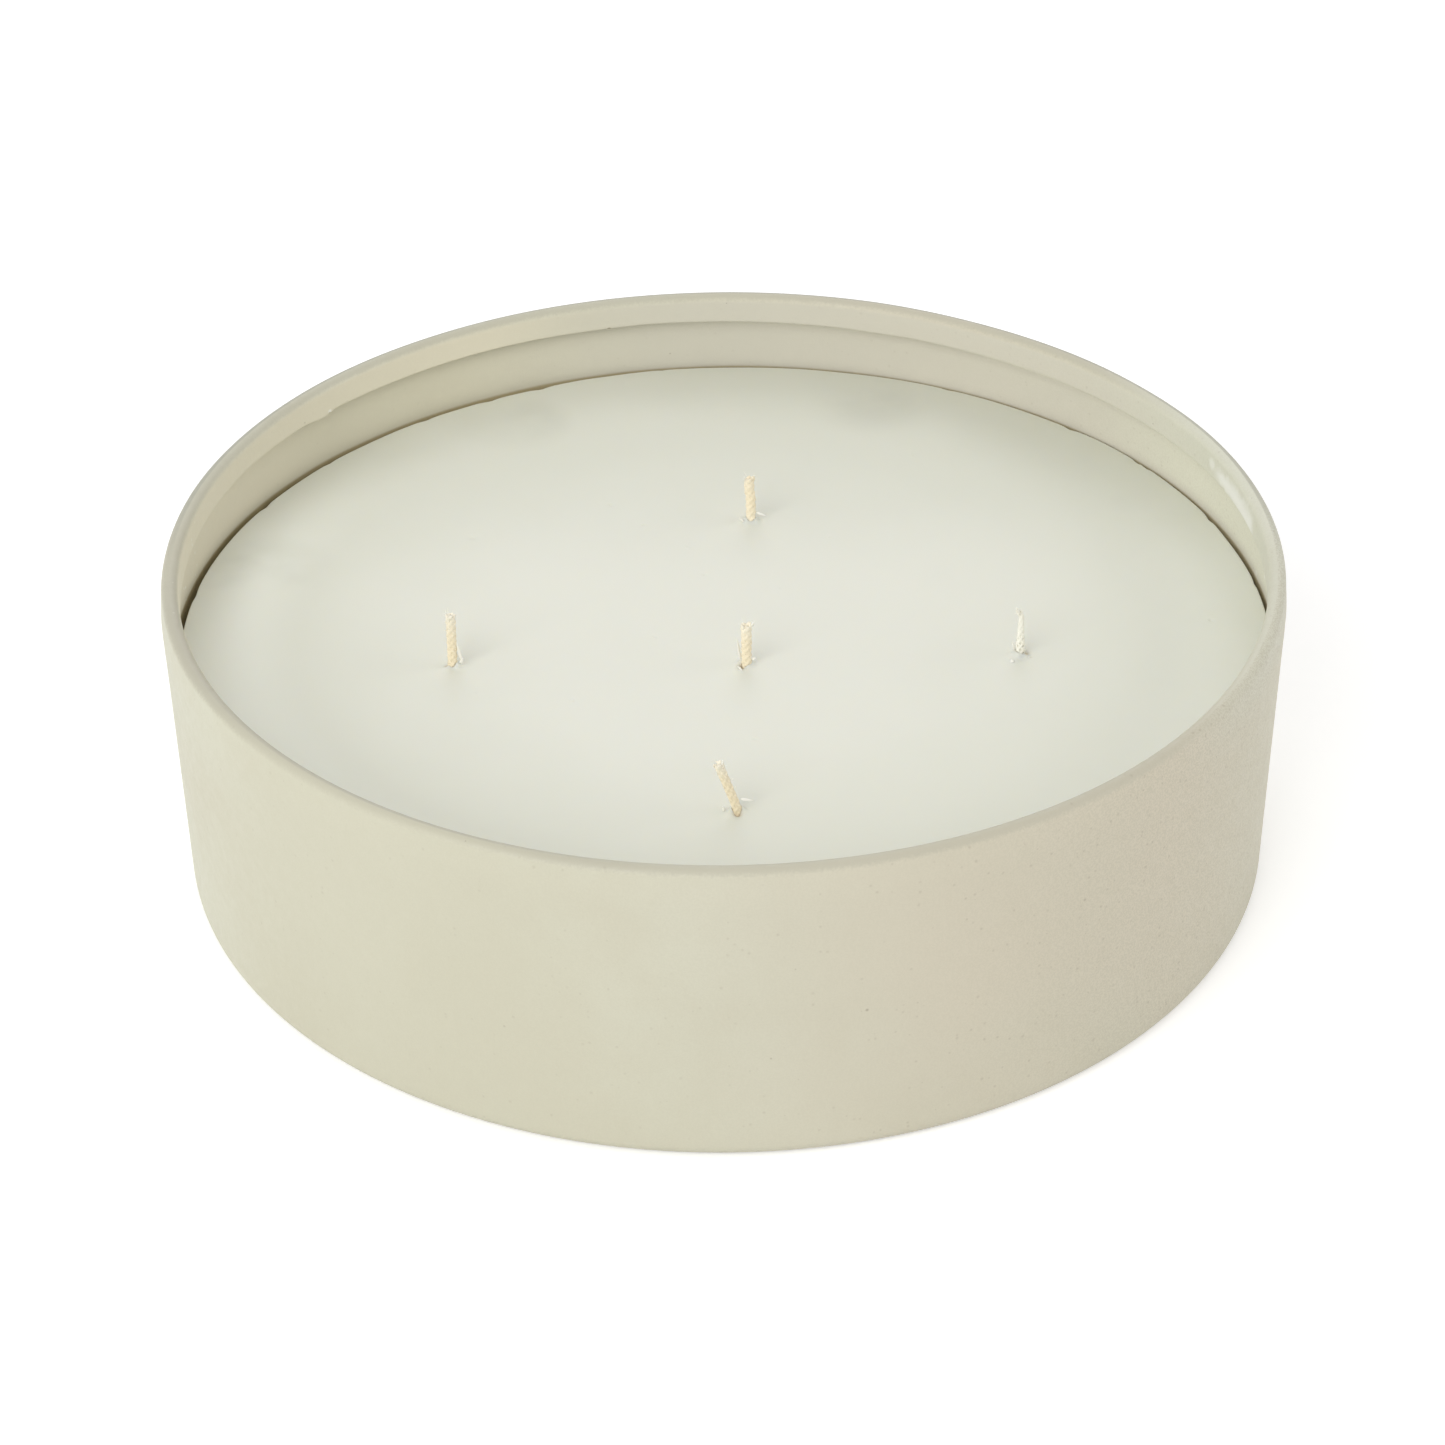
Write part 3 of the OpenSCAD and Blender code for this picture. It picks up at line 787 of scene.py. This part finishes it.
def clear_of(points, centre, reach):
    """The points that lie further than reach from a centre."""
    return points[np.hypot(*(points - centre).T) > reach]


def wax_fill(outer_r):
    """Points between the rims: a triangular grid, closer rings round each wick and each mark."""
    rows = np.arange(-GRID_REACH, GRID_REACH, WAX_GRID * ROW_STEP)
    columns = np.arange(-GRID_REACH, GRID_REACH, WAX_GRID)
    y, x = np.meshgrid(rows, columns, indexing="ij")
    x = x + WAX_GRID / 2 * (np.arange(len(rows)) % 2)[:, None]
    grid = np.stack([x.ravel(), y.ravel()], 1)
    grid = grid[np.hypot(*grid.T) < outer_r - 1.2]
    pool = HOLE_R + (POOL_R - HOLE_R) * np.linspace(0, 1, 27)[1:] ** 1.8
    for foot in feet.values():
        grid = clear_of(grid, foot, POOL_R + 1.0)
    parts = [polar(foot, pool, POOL_STEPS) for foot in feet.values()]
    for mx, my, size, _ in MARKS:
        grid = clear_of(grid, (mx, my), 3.2 * size)
        parts = [clear_of(part, (mx, my), 2.7 * size) for part in parts]
        rings = polar((mx, my), size * np.linspace(0.18, 2.6, 9), 16)
        parts.append(np.append(rings, [[mx, my]], 0))
    return np.concatenate([grid] + parts)


def wax_outside():
    """Rings from the top's rim over its rounded and chipped edge, down the leaning side, and in below."""
    azimuth = np.arange(EDGE_STEPS) * 360 / EDGE_STEPS
    turn = np.radians(azimuth)
    even = np.ones(EDGE_STEPS)
    wear = edge_wear(azimuth)
    rim_r = round_trip(azimuth, WAX_EDGE) - WAX_EDGE_R - 0.7 * wear
    rim_z = wax_top(rim_r * np.cos(turn), rim_r * np.sin(turn))[0]
    edge_turn = np.radians(np.linspace(0, 90, 8))[1:, None]
    edge_r = rim_r + (WAX_EDGE_R + 0.35 * wear) * np.sin(edge_turn)
    edge_z = rim_z - (WAX_EDGE_R + 0.5 * wear) * (1 - np.cos(edge_turn))
    side_z = np.array(WAX_SIDE_Z)[:, None] * even
    side_r = edge_r[-1] + (side_z - edge_z[-1]) * np.tan(WALL_LEAN)
    foot_turn = np.radians(np.linspace(15, 90, 6))[:, None]
    foot_r = side_r[-1] - WAX_FOOT_R * (1 - np.cos(foot_turn))
    foot_z = side_z[-1] - WAX_FOOT_R * np.sin(foot_turn)
    under_r = np.linspace(118.0, 105.0, 14)[:, None] * even
    under_z = base_rise(under_r) + SHEET
    r = np.concatenate([rim_r[None], edge_r, side_r, foot_r, under_r])
    z = np.concatenate([rim_z[None], edge_z, side_z, foot_z, under_z])
    return np.stack([r * np.cos(turn), r * np.sin(turn), z], -1)


def wick_hollow(foot, hole):
    """Rings down from the hole in the top, along the wick, and out round its tab and dot."""
    lip, lip_dark = wax_top(*hole.T)
    depth = np.linspace(0, 1, 6)[:, None]
    low = np.array(TAB_HOLLOW)[:, :, None] * np.ones(POOL_STEPS)
    r = np.concatenate([np.full((len(depth), POOL_STEPS), HOLE_R), low[:, 0]])
    z = np.concatenate([lip * (1 - depth) + HOLE_FOOT_Z * depth, low[:, 1]])
    a = np.arange(POOL_STEPS) * 2 * np.pi / POOL_STEPS
    points = np.stack([foot[0] + r * np.cos(a), foot[1] + r * np.sin(a), z], -1).reshape(-1, 3)
    shade = np.concatenate([lip_dark * (1 - depth), np.zeros(low[:, 0].shape)]).ravel()
    return points, [lathe_faces(len(r), POOL_STEPS)], shade


def wax_skin():
    """Parts of one closed surface: outside, top, underside, and the hollow of each wick."""
    rings = wax_outside()
    outside = rings.reshape(-1, 3)
    holes = [polar(foot, np.array([HOLE_R]), POOL_STEPS) for foot in feet.values()]
    rim_r = np.hypot(*rings[0, :, :2].T).min()
    places, triangles = flat_mesh([rings[0, :, :2]] + holes, wax_fill(rim_r))
    level, dark = wax_top(*places.T)
    wide = [polar(foot, np.array([TAB_HOLLOW_R]), POOL_STEPS) for foot in feet.values()]
    below, below_triangles = flat_mesh([rings[-1, :, :2]] + wide, np.zeros((0, 2)))
    underside = np.column_stack([below, np.full(len(below), PANEL_RISE + SHEET)])
    return [(outside, [lathe_faces(len(rings), EDGE_STEPS)[:, ::-1]], np.zeros(len(outside))),
            (np.column_stack([places, level]), [triangles], dark),
            (underside, [below_triangles[:, ::-1]], np.zeros(len(underside)))
            ] + [wick_hollow(foot, hole) for foot, hole in zip(feet.values(), holes)]


# Torn flakes and beads of wax at each wick: place from its foot, half width, half thickness, half height,
# facing azimuth, lean outwards in degrees
FLAKES = {
    "wick_back": (((-1.95, -0.5, 0.7), 0.60, 0.35, 1.3, 200, 45), ((2.4, 0.0, 2.1), 0.45, 0.30, 1.2, 0, 112),
                  ((0.6, 0.1, 12.1), 0.35, 0.30, 0.6, 10, 50)),
    "wick_left": (((1.60, -0.3, 4.0), 0.40, 0.38, 2.6, 0, -11), ((2.1, -0.4, 1.7), 0.55, 0.45, 0.8, 0, 20)),
    "wick_middle": (((-1.75, -0.2, 4.4), 0.40, 0.36, 2.9, 180, 8),
                    ((-1.5, -1.5, 0.2), 1.30, 0.24, 0.4, 213, 10),
                    ((1.6, -0.3, 2.0), 0.40, 0.35, 0.45, 0, 60), ((1.35, 0.0, 10.9), 0.40, 0.35, 0.8, 0, 20)),
    "wick_right": (((-0.75, 0.0, 11.8), 0.30, 0.26, 0.8, 180, 25),
                   ((-1.5, 0.1, 2.4), 0.55, 0.35, 1.2, 180, 15),
                   ((0.0, -1.2, 0.3), 0.90, 0.30, 0.45, 262, 30),
                   ((2.0, -1.3, 0.15), 0.60, 0.25, 0.3, 300, 40),
                   ((-1.96, -2.8, 0.15), 0.70, 0.62, 0.5, 200, 10)),
    "wick_front": (((-2.8, 0.3, 0.5), 0.45, 0.38, 0.7, 180, 15), ((2.2, 0.1, 2.9), 0.45, 0.34, 1.4, 0, 100),
                   ((-2.9, 0.1, 12.3), 0.38, 0.30, 0.8, 0, 8)),
}
FLAKE_STEPS = 14
FLAKE_RINGS = 9
FLAKE_SEED = 40
TORN_MARK = -1.0


def flake(which, place, half_wide, half_thick, half_high, facing, lean, seed):
    """Lumpy flattened ball: a sphere times its half sizes, narrower towards its top, tipped out by lean."""
    rng = np.random.default_rng(seed)
    v, u = np.meshgrid(np.linspace(0.06, np.pi - 0.06, FLAKE_RINGS),
                       np.arange(FLAKE_STEPS) * 2 * np.pi / FLAKE_STEPS, indexing="ij")
    lump = (1 + 0.16 * np.sin(3 * u + rng.uniform(0, 6)) * np.sin(v)
            + 0.12 * np.sin(5 * v + 2 * u + rng.uniform(0, 6)))
    taper = 0.72 + 0.28 * np.cos(v)
    thick = half_thick * np.cos(u) * np.sin(v) * lump * taper
    wide = half_wide * np.sin(u) * np.sin(v) * lump * taper
    high = -half_high * np.cos(v) * (1 + 0.1 * np.sin(4 * u + rng.uniform(0, 6)) * np.sin(v))
    t, f = np.radians(lean), np.radians(facing)
    out = thick * np.cos(t) + high * np.sin(t)
    up = high * np.cos(t) - thick * np.sin(t)
    turned = np.stack([out * np.cos(f) - wide * np.sin(f), out * np.sin(f) + wide * np.cos(f), up], -1)
    points = turned.reshape(-1, 3) + np.append(feet[which], WAX_Z) + place
    ends = np.array([points[:FLAKE_STEPS].mean(0), points[-FLAKE_STEPS:].mean(0)])
    ring = np.arange(FLAKE_STEPS)
    faces = [lathe_faces(FLAKE_RINGS, FLAKE_STEPS), fan(len(points), ring)[:, ::-1],
             fan(len(points) + 1, ring + (FLAKE_RINGS - 1) * FLAKE_STEPS)]
    return np.concatenate([points, ends]), faces, np.full(len(points) + 2, TORN_MARK)


# Greyer smudges in the top, by place in metres and reach
SMUDGES = (((-0.049, 0.095, 0.0533), 0.015), ((-0.106, 0.025, 0.0533), 0.020),
           ((0.088, 0.062, 0.0533), 0.018), ((0.036, 0.103, 0.0533), 0.018))


def set_wax():
    """Satin off-white wax: light scatters just under the skin; clouds, painted light in the middle and near
    the wall, painted shade at the back and in the hollows, faint pits.
    """
    material, tree, shader, place = new_material("set wax", Metallic=0.0, IOR=1.44, Subsurface_Scale=0.003,
                                                 Subsurface_Radius=(1.0, 0.85, 0.6))
    x, y, _ = node(tree, "SeparateXYZ", {0: place}).outputs[:3]
    far = node(tree, "VectorMath", {0: place}, operation="LENGTH").outputs["Value"]
    skin = grain_of(tree, place, 260.0, 90.0, 0.06, 0.18)
    clouds = skin["Clouds"]
    tone = point_value(tree, "tone")
    torn = product(tree, tone, -1.0)

    colour = tint(tree, ramp(tree, clouds, 0.3, 0.7), (0.705, 0.712, 0.612), (0.735, 0.740, 0.646))
    # Painted light: the top is made paler towards its middle.
    wander = ramp(tree, clouds, 0.3, 0.7, -0.012, 0.012)
    middle = ramp(tree, sums(tree, "ADD", far, wander), 0.118, 0.060)
    colour = tint(tree, product(tree, middle, 0.6), colour, (0.790, 0.790, 0.715))
    # Painted shade: the back of the top, away from its edge, is made darker.
    painted_shade_rear = product(tree, (y, 0.015, 0.060), (far, 0.118, 0.095), 0.4)
    colour = tint(tree, painted_shade_rear, colour, (0.660, 0.668, 0.575))
    # Painted light: the top is made paler near the wall, most at the left and not at the back, where the
    # wall's shadow falls.
    painted_light_wax_edge = product(tree, (far, 0.1080, 0.1235), (y, 0.080, 0.020), (x, 0.02, -0.06, 0.25, 1.0))
    colour = tint(tree, painted_light_wax_edge, colour, (0.860, 0.875, 0.785))
    smudged = ramp(tree, clouds, 0.42, 0.62)
    for centre, reach in SMUDGES:
        smudge = product(tree, smudged, spot(tree, place, centre, 0.004, reach), 0.7)
        colour = tint(tree, smudge, colour, (0.62, 0.625, 0.535))
    colour = tint(tree, product(tree, skin["Specks"], 0.10), colour, (0.5, 0.48, 0.38))
    # Painted shade: the hollows and holes at the wicks' feet are made brown.
    colour = tint(tree, tone, colour, (0.52, 0.41, 0.26))
    colour = tint(tree, torn, colour, WAX_CRUMB_TONE)

    tree.links.new(ramp(tree, torn, 0.0, 1.0, 0.40, 0.0), shader.inputs["Subsurface Weight"])
    slow = bump(tree, noise(tree, place, 55.0, 2.0), 0.0006, 0.25)
    finish_shader(tree, shader, colour, ramp(tree, clouds, 0.3, 0.7, 0.40, 0.50),
                  bump(tree, skin["Grain"], 0.00008, 0.15, slow))
    return material


flakes = [(which, *row) for which, rows in FLAKES.items() for row in rows]
wax_parts = wax_skin() + [flake(*row, seed=FLAKE_SEED + n) for n, row in enumerate(flakes)]
points, faces, tone = gathered(wax_parts)
wax = new_piece("wax_set", points, faces, set_wax(), tone=tone)
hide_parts("wax")
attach(wax, "root")

# Floor, light and camera
# A white studio sweep, a large soft lamp at the front left, a weaker warm one at the front right and soft
# light from all round. The camera stands in front, looking down by 34.7 degrees, as the photographer's did.


LAMP_AIM = (0, 0, 0.05)
FLOOR_R = 4000
FLOOR_Z = -0.05
FLOOR_SIDES = 96


def seen_directly(tree):
    """1 for a ray from the camera, a reflection or glass, and 0 for the light that falls on the object."""
    path = node(tree, "LightPath").outputs
    mirrored = sums(tree, "MAXIMUM", path["Is Glossy Ray"], path["Is Transmission Ray"])
    return sums(tree, "MAXIMUM", path["Is Camera Ray"], mirrored)


def floor():
    """Wide white disc; the camera sees it white where it is lit, and the object's shadow stays on it."""
    material = bpy.data.materials.new("studio floor")
    tree = empty_tree(material)
    matt = node(tree, "BsdfDiffuse", {"Color": (0.86, 0.86, 0.86, 1)})
    place = node(tree, "TexCoord").outputs["Object"]
    away = node(tree, "VectorMath", {0: place}, operation="LENGTH").outputs["Value"]
    strength = product(tree, seen_directly(tree), (away, 0.7, 2.5, 0.35, 0.65))
    glow = node(tree, "Emission", {"Color": (1, 1, 1, 1), "Strength": strength})
    both = node(tree, "AddShader", {0: matt.outputs[0], 1: glow.outputs[0]})
    node(tree, "OutputMaterial", {"Surface": both.outputs[0]})
    a = np.arange(FLOOR_SIDES) * 2 * np.pi / FLOOR_SIDES
    ring = np.stack([FLOOR_R * np.cos(a), FLOOR_R * np.sin(a), np.full(FLOOR_SIDES, FLOOR_Z)], 1)
    return new_piece("studio_floor", ring, [np.arange(FLOOR_SIDES)[None]], material)


def lamp(name, place, size, power, colour):
    """Square area lamp that points at the middle of the wax."""
    light = bpy.data.lights.new(name, "AREA")
    light.shape, light.size, light.energy, light.color = "SQUARE", size, power, colour
    stand = in_scene(name, light)
    aim = Vector(LAMP_AIM) - Vector(place)
    stand.matrix_world = Matrix.Translation(place) @ aim.to_track_quat("-Z", "Y").to_matrix().to_4x4()


def studio_world():
    """Even light from all round, which the camera and glossy surfaces see as white."""
    world = bpy.data.worlds.new("studio")
    tree = empty_tree(world)
    strength = ramp(tree, seen_directly(tree), 0.0, 1.0, 0.52, 1.0)
    light = node(tree, "Background", {"Color": (1, 1, 1, 1), "Strength": strength})
    node(tree, "OutputWorld", {"Surface": light.outputs[0]})
    bpy.context.scene.world = world


def photo_camera():
    """Camera aimed at the bowl's middle from its distance and height, then panned, tilted and rolled."""
    distance, drop = 0.98904, 0.6047
    pan, tilt, roll = -0.0006, 0.0234, -0.0109
    place = np.array([0, -distance * np.cos(drop), distance * np.sin(drop)])
    view = -place / distance
    right = np.cross(view, [0, 0, 1])
    right /= np.linalg.norm(right)
    view = view + pan * right + tilt * np.cross(right, view)
    view /= np.linalg.norm(view)
    right = np.cross(view, [0, 0, 1])
    right /= np.linalg.norm(right)
    up = np.cross(right, view)
    rolled = np.cos(roll) * right + np.sin(roll) * up
    up = -np.sin(roll) * right + np.cos(roll) * up
    data = bpy.data.cameras.new("camera")
    data.sensor_width, data.lens = 36.0, 106.03
    data.clip_start, data.clip_end = 0.05, 20.0
    camera = in_scene("camera", data)
    camera.matrix_world = Matrix([*np.column_stack([rolled, up, -view, place]).tolist(), [0, 0, 0, 1]])
    bpy.context.scene.camera = camera


floor()
lamp("key_lamp", (-0.95, -1.52, 1.25), 1.5, 24.9, (1.0, 1.0, 0.99))
lamp("right_lamp", (1.5, -0.1, 0.7), 1.0, 5.6, (1.0, 0.97, 0.94))
lamp("left_lamp", (-1.5, 0.0, 0.7), 1.0, 2.2, (0.99, 1.0, 0.97))
lamp("back_lamp", (0.0, 1.3, 1.2), 1.4, 5.4, (1.0, 1.0, 1.0))
studio_world()
photo_camera()
bpy.context.scene.view_settings.view_transform = "Standard"
